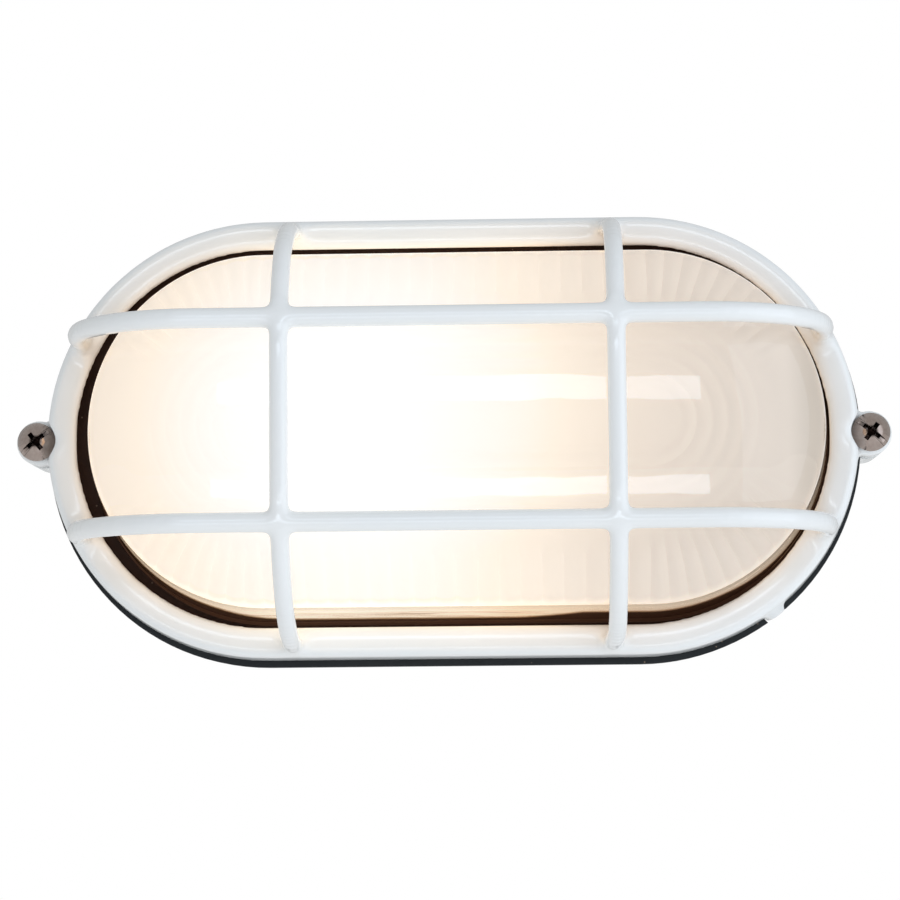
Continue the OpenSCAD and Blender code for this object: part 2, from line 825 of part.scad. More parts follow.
module at_earth() {
  translate([earth_x, earth_y, earth_z]) children();
}

module earth_lead() {
  tail = tag_reach + clear_gap;
  color("olivedrab") outward() lead([
    [block_face_x, -way_pitch, way_z],
    [block_face_x + 5, -way_pitch - 1, way_z],
    [earth_x + (tail + 5) * cos(earth_angle), earth_y + (tail + 5) * sin(earth_angle), earth_z + lead_d / 2],
    [earth_x + tail * cos(earth_angle), earth_y + tail * sin(earth_angle), earth_z + lead_d / 2]
  ], lead_d / 2);
}

module earth_tag() {
  barrel = 6;
  color("silver") outward() at_earth() rotate([0, 0, earth_angle]) {
    difference() {
      union() {
        cylinder(r = bracket_boss_r, h = tag_t);
        translate([0, -stout_d / 2, 0]) cube([tag_reach - barrel + 1, stout_d, tag_t]);
      }
      translate([0, 0, -over]) cylinder(r = stout_hole_r, h = tag_t + 2 * over);
    }
    translate([tag_reach - barrel, 0, lead_d / 2]) rotate([0, 90, 0]) cylinder(d = lead_d + 0.4, h = barrel);
  }
}

module earth_washer() {
  color("silver") outward() at_earth() translate([0, 0, tag_t]) difference() {
    cylinder(r = stout_d + fit_gap, h = tag_t);
    translate([0, 0, -over]) cylinder(r = stout_hole_r, h = tag_t + 2 * over);
  }
}

module earth_screw() {
  color("#c9a560") outward() at_earth() translate([0, 0, 2 * tag_t])
    pan_screw(stout_d, 1.9 * stout_d, stout_head_h, earth_boss_h + 2);
}

base();
guard();
glass();
gasket();
cover_screws();
screw_washers();
cable_grommet();
lamp();
lampholder_body();
lampholder_shell();
lampholder_contact();
contact_rivet();
terminal_plates();
holder_terminal_screws();
holder_bracket();
holder_screws();
bracket_screws();
terminal_block();
terminal_sleeves();
terminal_screws();
block_screws();
live_lead();
neutral_lead();
earth_lead();
earth_tag();
earth_washer();
earth_screw();
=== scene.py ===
import math

import bmesh
import bpy
from mathutils import Matrix, Vector


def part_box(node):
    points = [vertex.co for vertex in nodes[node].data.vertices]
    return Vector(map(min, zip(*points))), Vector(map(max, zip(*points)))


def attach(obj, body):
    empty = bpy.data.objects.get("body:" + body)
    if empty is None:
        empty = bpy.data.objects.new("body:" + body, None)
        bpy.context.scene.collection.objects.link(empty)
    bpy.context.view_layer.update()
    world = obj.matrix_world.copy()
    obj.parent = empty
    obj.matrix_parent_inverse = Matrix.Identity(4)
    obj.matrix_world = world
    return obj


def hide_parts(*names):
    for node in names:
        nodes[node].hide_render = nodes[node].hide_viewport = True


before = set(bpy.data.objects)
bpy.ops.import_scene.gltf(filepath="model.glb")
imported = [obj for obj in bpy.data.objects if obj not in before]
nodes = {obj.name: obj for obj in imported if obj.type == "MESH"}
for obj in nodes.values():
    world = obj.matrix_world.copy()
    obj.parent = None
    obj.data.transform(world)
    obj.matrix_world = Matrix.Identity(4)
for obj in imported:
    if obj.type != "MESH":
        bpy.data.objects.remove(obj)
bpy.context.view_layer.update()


# Base: the hollow oval back of the light, one pressure die casting in aluminium with an ear at
# each end for a cover screw. It is powder coated gloss white before anything is fitted to it.

def linear(hex_colour):
    """A colour written as sRGB hex, as linear RGBA."""
    channels = [int(hex_colour[i:i + 2], 16) / 255 for i in (1, 3, 5)]
    return [c / 12.92 if c <= 0.04045 else ((c + 0.055) / 1.055) ** 2.4 for c in channels] + [1.0]


def put(tree, kind, inputs=None, **settings):
    """Adds a node with its settings and its inputs: a value, a socket, or a node's first output."""
    node = tree.nodes.new(kind)
    for name, value in settings.items():
        setattr(node, name, value)
    for name, value in (inputs or {}).items():
        socket = node.inputs[name] if isinstance(name, int) else next(
            s for s in node.inputs if s.enabled and s.name == name)
        if isinstance(value, bpy.types.Node):
            value = next(s for s in value.outputs if s.enabled)
        if isinstance(value, bpy.types.NodeSocket):
            tree.links.new(value, socket)
        else:
            socket.default_value = value
    return node


def mixed(tree, share, one, other, **settings):
    """Mixes two colours by a share. Each is an sRGB hex or comes from a node."""
    one, other = (linear(c) if isinstance(c, str) else c for c in (one, other))
    return put(tree, "ShaderNodeMix", {"Factor": share, "A": one, "B": other},
               data_type="RGBA", **settings)


def new_finish(name):
    """An empty material, its node tree, and the place on the piece in metres."""
    finish = bpy.data.materials.new(name)
    finish.use_nodes = True
    tree = finish.node_tree
    tree.nodes.clear()
    return finish, tree, put(tree, "ShaderNodeTexCoord").outputs["Object"]


def lay_on(finish, *names):
    """Puts a finish on the CAD nodes with these names."""
    for name in names:
        for slot in nodes[name].material_slots:
            slot.material = finish


def per_mm(size):
    """Texture scale at which one cell of a pattern is this many millimetres."""
    return 1000 / size


# Gloss white powder coat on a casting: it flows out as it is baked, so its gloss is high and its
# reflections waver a little, from orange peel a few mm wide and from the casting's own ripple.
powder_coat, tree, place = new_finish("powder coat, gloss white")
peel = put(tree, "ShaderNodeTexNoise", {"Vector": place, "Scale": per_mm(3.5), "Detail": 2.0})
ripple = put(tree, "ShaderNodeTexNoise", {"Vector": place, "Scale": per_mm(22), "Detail": 1.0})
drift = put(tree, "ShaderNodeTexNoise", {"Vector": place, "Scale": per_mm(45), "Detail": 3.0})
shade = mixed(tree, drift, "#EEF1F2", "#F6F6F4")
# Grit caught in the coat: a grain in about one cell of forty.
grit = put(tree, "ShaderNodeTexVoronoi", {"Vector": place, "Scale": per_mm(12)})
chance = put(tree, "ShaderNodeSeparateColor", {"Color": grit.outputs["Color"]})
few = put(tree, "ShaderNodeMath", {0: chance, 1: 0.975}, operation="GREATER_THAN")
grain = put(tree, "ShaderNodeMath", {0: grit, 1: 0.03}, operation="LESS_THAN")
speck = put(tree, "ShaderNodeMath", {0: few, 1: grain}, operation="MULTIPLY")
colour = mixed(tree, speck, shade, "#8D8A86")
gloss = put(tree, "ShaderNodeMapRange", {
    "Value": drift, "To Min": 0.15, "To Max": 0.23})
wave = put(tree, "ShaderNodeBump", {
    "Height": ripple, "Strength": 0.35, "Distance": 0.0006})
skin = put(tree, "ShaderNodeBump", {
    "Height": peel, "Strength": 0.12, "Distance": 0.0001,
    "Normal": wave})
paint = put(tree, "ShaderNodeBsdfPrincipled", {
    "Base Color": colour, "Roughness": gloss,
    "Normal": skin, "Coat Weight": 0.5, "Coat Roughness": 0.06})
put(tree, "ShaderNodeOutputMaterial", {"Surface": paint})
lay_on(powder_coat, "base")


# Cable grommet: a ring of moulded black rubber pressed into the cable entry in the back of the
# base, so that the supply cable passes the casting without touching it.

# Moulded rubber: dull and nearly black, with a fine grain left by the mould and a grey bloom.
rubber, tree, place = new_finish("moulded rubber, black")
grain = put(tree, "ShaderNodeTexNoise", {"Vector": place, "Scale": per_mm(0.8), "Detail": 3.0})
bloom = put(tree, "ShaderNodeTexNoise", {"Vector": place, "Scale": per_mm(14), "Detail": 4.0})
colour = mixed(tree, bloom, "#1B1B1B", "#2E2D2C")
skin = put(tree, "ShaderNodeBump", {
    "Height": grain, "Strength": 0.25, "Distance": 0.0001})
black = put(tree, "ShaderNodeBsdfPrincipled", {
    "Base Color": colour, "Roughness": 0.55, "Normal": skin})
put(tree, "ShaderNodeOutputMaterial", {"Surface": black})
lay_on(rubber, "cable_grommet")


# Terminal block: a moulded nylon block of three ways on the floor of the base, held by two screws.
# Each way is a brass sleeve with two clamping screws of plated steel.

# Nylon: cream, half matt, a little uneven in the mould.
nylon, tree, place = new_finish("moulded nylon, natural")
flow = put(tree, "ShaderNodeTexNoise", {"Vector": place, "Scale": per_mm(6), "Detail": 3.0})
colour = mixed(tree, flow, "#D9D3C3", "#E9E4D6")
skin = put(tree, "ShaderNodeBump", {
    "Height": flow, "Strength": 0.2, "Distance": 0.0001})
block = put(tree, "ShaderNodeBsdfPrincipled", {
    "Base Color": colour, "Roughness": 0.42, "Normal": skin,
    "Subsurface Weight": 0.1, "Subsurface Radius": (0.001, 0.001, 0.001)})
put(tree, "ShaderNodeOutputMaterial", {"Surface": block})
lay_on(nylon, "terminal_block")

# Turned brass: yellow, with brown tarnish in patches that takes the shine off.
brass, tree, place = new_finish("turned brass")
tarnish = put(tree, "ShaderNodeTexNoise", {"Vector": place, "Scale": per_mm(5), "Detail": 4.0})
colour = mixed(tree, tarnish, "#E2C27A", "#B58A45")
gloss = put(tree, "ShaderNodeMapRange", {
    "Value": tarnish, "To Min": 0.18, "To Max": 0.42})
yellow = put(tree, "ShaderNodeBsdfPrincipled", {
    "Base Color": colour, "Metallic": 1.0, "Roughness": gloss})
put(tree, "ShaderNodeOutputMaterial", {"Surface": yellow})
lay_on(brass, "terminal_sleeves")

# Zinc plate on steel: pale blue-grey, with a faint straw tint where the passivation is thicker.
zinc_plate, tree, place = new_finish("zinc plated steel")
tint = put(tree, "ShaderNodeTexNoise", {"Vector": place, "Scale": per_mm(8), "Detail": 3.0})
colour = mixed(tree, tint, "#C3CAD0", "#D8D3C0")
gloss = put(tree, "ShaderNodeMapRange", {
    "Value": tint, "To Min": 0.26, "To Max": 0.4})
plated = put(tree, "ShaderNodeBsdfPrincipled", {
    "Base Color": colour, "Metallic": 1.0, "Roughness": gloss})
put(tree, "ShaderNodeOutputMaterial", {"Surface": plated})
lay_on(zinc_plate, "terminal_screws", "block_screws")


# Leads: three single-core wires in coloured PVC, from the block to the lampholder and to the earth
# screw. The earth tag and its washer are stamped, plated steel, and its screw is brass.

# Extruded PVC: even in colour, half gloss, drawn along its length by the die.
for name, lead, dark, light in (
    ("brown", "live_lead", "#4A2A18", "#6B4028"),
    ("blue", "neutral_lead", "#1F4E8C", "#3F74B4"),
    ("green", "earth_lead", "#2F7A35", "#7FA832"),
):
    insulation, tree, place = new_finish(f"extruded PVC, {name}")
    drawn = put(tree, "ShaderNodeTexNoise", {"Vector": place, "Scale": per_mm(3), "Detail": 2.0})
    colour = mixed(tree, drawn, dark, light)
    sleeve = put(tree, "ShaderNodeBsdfPrincipled", {
        "Base Color": colour, "Roughness": 0.35})
    put(tree, "ShaderNodeOutputMaterial", {"Surface": sleeve})
    lay_on(insulation, lead)
lay_on(zinc_plate, "earth_tag", "earth_washer")
lay_on(brass, "earth_screw")


# Lampholder: a glazed porcelain body with a brass screw shell, a riveted centre contact and two
# terminal plates. It stands on a bent steel bracket that is screwed to the base.

# Glazed porcelain: warm white under a smooth clear glaze, with iron specks from the clay.
porcelain, tree, place = new_finish("glazed porcelain")
clay = put(tree, "ShaderNodeTexNoise", {"Vector": place, "Scale": per_mm(0.9), "Detail": 1.0})
iron = put(tree, "ShaderNodeMapRange", {
    "Value": clay, "From Min": 0.68, "From Max": 0.74})
colour = mixed(tree, iron, "#F2EEE4", "#B9AE9C")
glaze = put(tree, "ShaderNodeBsdfPrincipled", {
    "Base Color": colour, "Roughness": 0.25,
    "Coat Weight": 0.8, "Coat Roughness": 0.03})
put(tree, "ShaderNodeOutputMaterial", {"Surface": glaze})
lay_on(porcelain, "lampholder_body")
lay_on(brass, "lampholder_shell", "lampholder_contact", "contact_rivet", "terminal_plates",
       "holder_terminal_screws")
lay_on(zinc_plate, "holder_bracket", "holder_screws", "bracket_screws")


# Lamp: a screw-cap lamp with an opal glass bulb, turned into the lampholder. It is lit, and it lies
# left of the middle with its cap on the right, so the right end of the light stays darker.
lamp_low, lamp_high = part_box("lamp")
lamp_axis = (lamp_low + lamp_high) / 2
lamp_radius = (lamp_high.z - lamp_low.z) / 2
bulb = Vector((lamp_low.x + lamp_radius, lamp_axis.y, lamp_axis.z))

# Opal glass: flashed white inside, so the whole bulb glows evenly and its outside is smooth.
opal, tree, place = new_finish("opal glass, lit")
flash = put(tree, "ShaderNodeTexNoise", {"Vector": place, "Scale": per_mm(18), "Detail": 2.0})
glow = mixed(tree, flash, "#FFE9C8", "#FFF4E0")
bulb_glass = put(tree, "ShaderNodeBsdfPrincipled", {
    "Base Color": linear("#F7F3EA"), "Roughness": 0.12,
    "Emission Color": glow, "Emission Strength": 2.0})
put(tree, "ShaderNodeOutputMaterial", {"Surface": bulb_glass})
lay_on(opal, "lamp")


# Glass: one pressed diffuser, a crowned oval dome on a flat flange. Its outside is smooth, and the
# plunger left radial flutes round the border of the inside and rings in the middle, then etched it.
glass_low, glass_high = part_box("glass")
glass_middle = (glass_low + glass_high) / 2
flange_radius = (glass_high.z - glass_low.z) / 2
run = (glass_high.x - glass_low.x) / 2 - flange_radius
crown = -glass_low.y
foot = -glass_high.y
flange_width = 0.005
flange_thick = 0.004
wall = 0.0035
draft = 0.0038
shoulder = 0.018
crown_radius = 0.15
flute_pitch = 0.0064
flute_deep = 0.0009
ring_pitch = 0.0046
ring_deep = 0.0005
fold_height = 0.010
steps_in_flute = 6
steps_on_shoulder = 16
steps_on_front, steps_on_smooth_front = 60, 16
steps_on_wall = 12


def dome(top_radius, shoulder_radius, front_radius, top, shoulder_steps, front_steps):
    """Section of a crowned dome in radius and depth, from the middle of its front to its side."""
    across = top_radius - shoulder_radius
    deep = top - front_radius + math.sqrt((front_radius - shoulder_radius) ** 2 - across ** 2)
    meet = math.atan2(deep - top + front_radius, across)
    front = [
        (front_radius * math.cos(a), top - front_radius + front_radius * math.sin(a))
        for a in (math.pi / 2 + (meet - math.pi / 2) * i / front_steps for i in range(front_steps))]
    side = [
        (across + shoulder_radius * math.cos(a), deep + shoulder_radius * math.sin(a))
        for a in (meet * (1 - i / shoulder_steps) for i in range(shoulder_steps + 1))]
    return front + side


def oval_stations(half_run, end_steps, side_steps):
    """Places round an oval: a point on its spine and the way out from there, across and up."""
    stations = []
    for side in (1, -1):
        for i in range(end_steps):
            angle = math.pi * (i / end_steps - 0.5)
            stations.append((side * half_run, side * math.cos(angle), side * math.sin(angle)))
        for i in range(side_steps):
            stations.append((side * half_run * (1 - 2 * i / side_steps), 0.0, side))
    return stations


def sweep(stations, section, middle):
    """A mesh of a section in radius and depth that is carried round an oval."""
    mesh = bmesh.new()
    rows = [
        [mesh.verts.new((middle.x + x + r * across, -depth, middle.z + r * up))
         for r, depth in section]
        for x, across, up in stations]
    for one, next_one in zip(rows, rows[1:] + rows[:1]):
        for i in range(len(section) - 1):
            mesh.faces.new((one[i], one[i + 1], next_one[i + 1], next_one[i]))
    return mesh


dome_radius = flange_radius - flange_width
hollow_radius = dome_radius - draft - wall - flute_deep
end_flutes = round(math.pi * dome_radius / flute_pitch)
side_flutes = round(2 * run / flute_pitch)
stations = oval_stations(run, end_flutes * steps_in_flute, side_flutes * steps_in_flute)
inside = dome(hollow_radius, shoulder - wall, crown_radius - wall, crown - wall,
              steps_on_shoulder, steps_on_front)
wall_top = inside[-1][1]
foot_radius = hollow_radius + draft
inside += [(hollow_radius + draft * i / steps_on_wall,
            wall_top + (foot - wall_top) * i / steps_on_wall)
           for i in range(1, steps_on_wall + 1)]
outside = dome(dome_radius - draft, shoulder, crown_radius, crown,
               steps_on_shoulder, steps_on_smooth_front)
side_top = outside[-1][1]
flange_top = foot + flange_thick
fold_edge = foot + fold_height
outside += [(dome_radius - draft * part, flange_top + (side_top - flange_top) * part)
            for part in (0.8, 0.6, 0.4, 0.2, 0.1)]
outside += [(dome_radius, flange_top), (flange_radius, flange_top),
            (flange_radius, foot), (foot_radius, foot)]

# Etched face of the glass: it spreads the lamp's light, so its glow is painted on as emission by
# how near it is to the bulb: white in the middle, cream at the left end, tan at the right end,
# where painted shadow of the lamp's cap falls.
etched, tree, place = new_finish("pressed glass, etched inside")
filament_left, filament_right = bulb.x - 0.027, bulb.x + 0.019
axis = put(tree, "ShaderNodeSeparateXYZ", {"Vector": place})
along = put(tree, "ShaderNodeClamp", {"Value": axis, "Min": filament_left, "Max": filament_right})
source = put(tree, "ShaderNodeCombineXYZ", {"X": along, "Y": bulb.y, "Z": bulb.z})
way = put(tree, "ShaderNodeVectorMath", {0: source, 1: place}, operation="SUBTRACT")
far = put(tree, "ShaderNodeVectorMath", {0: way}, operation="LENGTH").outputs["Value"]
fall = put(tree, "ShaderNodeMapRange", {
    "Value": far, "From Min": 0.0491, "From Max": 0.1425, "To Min": 1.0, "To Max": 0.0})
# Painted shadow of the lamp's cap over the right end, deeper lower down, and painted shade where
# the right end turns away from the bulb.
cap_side = put(tree, "ShaderNodeMapRange", {
    "Value": axis.outputs["Z"], "From Min": -0.045, "From Max": 0.0, "To Min": 0.6, "To Max": 0.72})
cap_shade = put(tree, "ShaderNodeMapRange", {
    "Value": axis, "From Min": -0.0244, "From Max": 0.0772, "To Min": 1.0, "To Max": cap_side},
    interpolation_type="SMOOTHSTEP")
end_shade = put(tree, "ShaderNodeMapRange", {
    "Value": axis, "From Min": 0.099, "From Max": 0.1077, "To Min": 1.0, "To Max": 0.1},
    interpolation_type="SMOOTHSTEP")
# The painted glow is stronger where the etched face turns towards the bulb, so the flutes show in
# it.
ray = put(tree, "ShaderNodeVectorMath", {0: way}, operation="NORMALIZE")
normal = put(tree, "ShaderNodeNewGeometry").outputs["Normal"]
square = put(tree, "ShaderNodeVectorMath", {0: ray, 1: normal}, operation="DOT_PRODUCT")
facing = put(tree, "ShaderNodeMath", {0: square.outputs["Value"]}, operation="ABSOLUTE")
least = put(tree, "ShaderNodeMapRange", {
    "Value": axis, "From Min": -0.01, "From Max": 0.055, "To Min": 0.97, "To Max": 0.52})
spread = put(tree, "ShaderNodeMapRange", {"Value": facing, "To Min": least, "To Max": 1.0})
# A painted darker line in the glow runs along the shoulder, where the flutes end.
depth = put(tree, "ShaderNodeMath", {0: axis.outputs["Y"], 1: -1.0}, operation="MULTIPLY")
off_line = put(tree, "ShaderNodeMath", {0: depth, 1: wall_top + 0.003}, operation="SUBTRACT")
from_line = put(tree, "ShaderNodeMath", {0: off_line}, operation="ABSOLUTE")
line = put(tree, "ShaderNodeMapRange", {
    "Value": from_line, "From Min": 0.0005, "From Max": 0.002, "To Min": 0.87, "To Max": 1.0})
lit = fall
for factor in (cap_shade, end_shade, spread, line):
    lit = put(tree, "ShaderNodeMath", {0: lit, 1: factor}, operation="MULTIPLY")
# Colour of the painted glow, from dull tan where it is weakest to pale white where it is strongest.
glow = put(tree, "ShaderNodeValToRGB", {"Fac": lit})
for stop in (0.3, 0.5, 0.8):
    glow.color_ramp.elements.new(stop)
for stop, colour in zip(glow.color_ramp.elements, (
        "#8A827E", "#ABA3A0", "#BEB4AE", "#D7CCC2", "#D7DCE4")):
    stop.color = linear(colour)
# Its foot stands in the dark fold of the gasket. Painted shade there turns its colour dark brown
# and dims its glow, for the fold's shadow and the dark gasket seen through it, except near the bulb
# where the painted glow reaches it, and the mould left broken streaks along it that break up this
# painted shade.
off_lamp = put(tree, "ShaderNodeMapRange", {
    "Value": fall, "From Min": 0.88, "From Max": 0.95, "To Min": 1.0, "To Max": 0.0})
off_end = put(tree, "ShaderNodeMapRange", {"Value": fall, "From Min": 0.45, "From Max": 0.6})
between = put(tree, "ShaderNodeMath", {0: off_lamp, 1: off_end}, operation="MULTIPLY")
fold_top = put(tree, "ShaderNodeMapRange", {"Value": between, "To Min": 0.04, "To Max": 0.0485})
above = put(tree, "ShaderNodeMath", {0: depth, 1: fold_top}, operation="SUBTRACT")
clear_of_fold = put(tree, "ShaderNodeMapRange", {
    "Value": above, "From Max": 0.006}, interpolation_type="SMOOTHSTEP")
drawn = put(tree, "ShaderNodeVectorMath", {0: place, 1: (1.0, 18.0, 1.0)}, operation="MULTIPLY")
streaks = put(tree, "ShaderNodeTexNoise", {
    "Vector": drawn, "Scale": per_mm(20), "Detail": 3.0})
low = put(tree, "ShaderNodeMapRange", {
    "Value": depth, "From Min": 0.05, "From Max": 0.06, "To Min": 0.45, "To Max": 0.0})
streak = put(tree, "ShaderNodeMapRange", {
    "Value": streaks, "From Min": 0.54, "From Max": 0.62, "To Min": 0.0, "To Max": low})
unstreaked = put(tree, "ShaderNodeMath", {0: 1.0, 1: streak}, operation="SUBTRACT")
bare = put(tree, "ShaderNodeMath", {0: clear_of_fold, 1: unstreaked}, operation="MULTIPLY")
# Painted shade of the fold in the colour: dark brown at the foot, pale glass above it.
body = mixed(tree, bare, "#3A2417", "#C9C3BA")
# The side wall is seen along its face, so it has to be brighter to look as bright as the front.
# Light crosses more of the straw-coloured glass there.
on_front = put(tree, "ShaderNodeMapRange", {
    "Value": depth, "From Min": wall_top - 0.004, "From Max": wall_top + 0.004})
side = put(tree, "ShaderNodeMapRange", {"Value": on_front, "To Min": 1.85, "To Max": 1.0})
straw = mixed(tree, on_front, "#FFF0D9", "#FFFFFF")
tinted = mixed(tree, 1.0, glow, straw, blend_type="MULTIPLY")
# The same painted shade dims the glow of the foot to dark brown.
painted_fold_shade = put(tree, "ShaderNodeValToRGB", {"Fac": bare})
painted_fold_shade.color_ramp.elements.new(0.45)
for stop, colour in zip(painted_fold_shade.color_ramp.elements, ("#30221B", "#C2A281", "#FFFFFF")):
    stop.color = linear(colour)
shine = mixed(tree, 1.0, tinted, painted_fold_shade, blend_type="MULTIPLY")
frost = put(tree, "ShaderNodeBsdfPrincipled", {
    "Base Color": body, "Roughness": 0.6,
    "Emission Color": shine, "Emission Strength": side})
put(tree, "ShaderNodeOutputMaterial", {"Surface": frost})

# Outer skin of the glass: fire-polished soda-lime glass, clear with a faint straw tint.
clear, tree, place = new_finish("pressed glass, fire polished")
cord = put(tree, "ShaderNodeTexNoise", {"Vector": place, "Scale": per_mm(25), "Detail": 1.0})
flow = put(tree, "ShaderNodeBump", {"Height": cord, "Strength": 0.3, "Distance": 0.0005})
polished = put(tree, "ShaderNodeBsdfPrincipled", {
    "Base Color": linear("#FBF7EE"), "Roughness": 0.02, "IOR": 1.5, "Transmission Weight": 1.0,
    "Normal": flow})
put(tree, "ShaderNodeOutputMaterial", {"Surface": polished})


def bake(piece):
    """Makes a piece's modifiers its plain mesh."""
    evaluated = piece.evaluated_get(bpy.context.evaluated_depsgraph_get())
    mesh = bpy.data.meshes.new_from_object(evaluated)
    piece.modifiers.clear()
    piece.data = mesh
    return piece


def new_piece(name, mesh):
    """An object in the scene from a bmesh, which is used up."""
    data = bpy.data.meshes.new(name)
    mesh.to_mesh(data)
    mesh.free()
    piece = bpy.data.objects.new(name, data)
    bpy.context.scene.collection.objects.link(piece)
    return piece


# The pressed pattern: the smooth inside moves outwards by a scallop for each flute and by a wave
# for each ring, as deep as the press attributes of its points say.
pressed = bpy.data.node_groups.new("pressed pattern", "GeometryNodeTree")
pressed.interface.new_socket("Geometry", in_out="INPUT", socket_type="NodeSocketGeometry")
flute_input = pressed.interface.new_socket(
    "Flute depth", in_out="INPUT", socket_type="NodeSocketFloat")
ring_input = pressed.interface.new_socket(
    "Ring depth", in_out="INPUT", socket_type="NodeSocketFloat")
finish_input = pressed.interface.new_socket(
    "Finish", in_out="INPUT", socket_type="NodeSocketMaterial")
pressed.interface.new_socket("Geometry", in_out="OUTPUT", socket_type="NodeSocketGeometry")
given = put(pressed, "NodeGroupInput").outputs
offsets = []
for pattern, depth_input in (("flute", "Flute depth"), ("ring", "Ring depth")):
    phase = put(pressed, "GeometryNodeInputNamedAttribute", {"Name": f"{pattern}_turn"})
    press_share = put(pressed, "GeometryNodeInputNamedAttribute", {"Name": f"{pattern}_press"})
    swing = put(pressed, "ShaderNodeMath", {0: phase}, operation="SINE")
    scallop = put(pressed, "ShaderNodeMath", {0: swing}, operation="ABSOLUTE")
    deep = put(pressed, "ShaderNodeMath", {0: scallop, 1: given[depth_input]}, operation="MULTIPLY")
    offsets.append(put(pressed, "ShaderNodeMath", {0: deep, 1: press_share}, operation="MULTIPLY"))
total = put(pressed, "ShaderNodeMath", {0: offsets[0], 1: offsets[1]}, operation="ADD")
outward = put(pressed, "GeometryNodeInputNormal")
shift = put(pressed, "ShaderNodeVectorMath", {0: outward, "Scale": total}, operation="SCALE")
moved = put(pressed, "GeometryNodeSetPosition", {"Geometry": given["Geometry"], "Offset": shift})
whole = put(pressed, "GeometryNodeRealizeInstances", {"Geometry": moved})
dressed = put(pressed, "GeometryNodeSetMaterial", {"Geometry": whole, "Material": given["Finish"]})
put(pressed, "NodeGroupOutput", {"Geometry": dressed})


def ease(value, start, stop):
    """Goes smoothly from 0 at the start to 1 at the stop."""
    share = min(max((value - start) / (stop - start), 0), 1)
    return share * share * (3 - 2 * share)


# The flutes lie outside the rings, fade out round the two ends and stop at the side wall.
flutes_start, flutes_full = 0.031, 0.042
end_start, end_full = 0.3, 0.7
wall_start, wall_full = wall_top - 0.004, wall_top - 0.001
rings_start, rings_full = 0.007, 0.012
rings_fade, rings_stop = 0.03, 0.036
etched_side = new_piece("etched_side", sweep(stations, inside, glass_middle))
patterns = {"flute_turn": [], "flute_press": [], "ring_turn": [], "ring_press": []}
for station, (x, across, up) in enumerate(stations):
    end_fade = ease(abs(up), end_start, end_full)
    for r, deep_in in inside:
        patterns["flute_turn"].append(math.pi * station / steps_in_flute)
        patterns["flute_press"].append(
            end_fade * ease(r, flutes_start, flutes_full) * ease(deep_in, wall_start, wall_full))
        patterns["ring_turn"].append(math.pi * r / ring_pitch)
        patterns["ring_press"].append(
            ease(r, rings_start, rings_full) * ease(r, rings_stop, rings_fade))
for name, values in patterns.items():
    etched_side.data.attributes.new(name, "FLOAT", "POINT").data.foreach_set("value", values)
press = etched_side.modifiers.new("pressed pattern", "NODES")
press.node_group = pressed
press[flute_input.identifier] = flute_deep
press[ring_input.identifier] = ring_deep
press[finish_input.identifier] = etched
bake(etched_side)

# The etched inside and the polished outside meet at the foot and are one piece of glass.
weld = 1e-6
crease = math.radians(35)
glass_shell = sweep(stations, outside, glass_middle)
polished_faces = len(glass_shell.faces)
glass_shell.from_mesh(etched_side.data)
glass_shell.faces.ensure_lookup_table()
etched_faces = glass_shell.faces[polished_faces:]
bmesh.ops.reverse_faces(glass_shell, faces=etched_faces)
for face in etched_faces:
    face.material_index = 1
# The outside of the foot, up to the top of the fold, takes the etched finish too, with its painted
# glow and painted shade.
for face in glass_shell.faces[:polished_faces]:
    face.material_index = int(-face.calc_center_median().y < fold_edge)
bmesh.ops.remove_doubles(glass_shell, verts=glass_shell.verts, dist=weld)
bpy.data.objects.remove(etched_side)
diffuser = new_piece("diffuser", glass_shell)
diffuser.data.materials.append(clear)
diffuser.data.materials.append(etched)
diffuser.data.shade_smooth()
diffuser.data.set_sharp_from_angle(angle=crease)
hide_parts("glass")
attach(diffuser, "root")


# Gasket: one moulded ring of black rubber, folded round the flange of the glass. The guard presses
# it on the base, so it shows as a dark band round the glass and a thin one under the rim.

# Gasket rubber: black outside and dark brown on its inner part next to the glass, with pale dust
# that stuck to it when the light was put together.
dusty_rubber, tree, place = new_finish("moulded rubber, dusty")
grain = put(tree, "ShaderNodeTexNoise", {"Vector": place, "Scale": per_mm(0.9), "Detail": 3.0})
bloom = put(tree, "ShaderNodeTexNoise", {"Vector": place, "Scale": per_mm(16), "Detail": 4.0})
inner_brown = mixed(tree, bloom, "#33211A", "#442F25")
black = mixed(tree, bloom, "#1E2123", "#2E3133")
straight_half = 0.058
lip_radius, black_radius, edge_radius = 0.062, 0.066, 0.069
axis = put(tree, "ShaderNodeSeparateXYZ", {"Vector": place})
out_x = put(tree, "ShaderNodeMath", {0: axis.outputs["X"]}, operation="ABSOLUTE")
past = put(tree, "ShaderNodeMath", {0: out_x, 1: straight_half}, operation="SUBTRACT")
beyond = put(tree, "ShaderNodeMath", {0: past, 1: 0.0}, operation="MAXIMUM")
from_run = put(tree, "ShaderNodeCombineXYZ", {"X": beyond, "Z": axis.outputs["Z"]})
reach = put(tree, "ShaderNodeVectorMath", {0: from_run}, operation="LENGTH").outputs["Value"]
outer = put(tree, "ShaderNodeMapRange", {
    "Value": reach, "From Min": lip_radius, "From Max": black_radius})
colour = mixed(tree, outer, inner_brown, black)
dust = put(tree, "ShaderNodeTexVoronoi", {"Vector": place, "Scale": per_mm(2.2)})
chance = put(tree, "ShaderNodeSeparateColor", {"Color": dust.outputs["Color"]})
some = put(tree, "ShaderNodeMath", {0: chance, 1: 0.8}, operation="GREATER_THAN")
fleck = put(tree, "ShaderNodeMath", {0: dust, 1: 0.12}, operation="LESS_THAN")
speck = put(tree, "ShaderNodeMath", {0: some, 1: fleck}, operation="MULTIPLY")
dusted = mixed(tree, speck, colour, "#7A6A5C")
skin = put(tree, "ShaderNodeBump", {"Height": grain, "Strength": 0.4, "Distance": 0.0002})
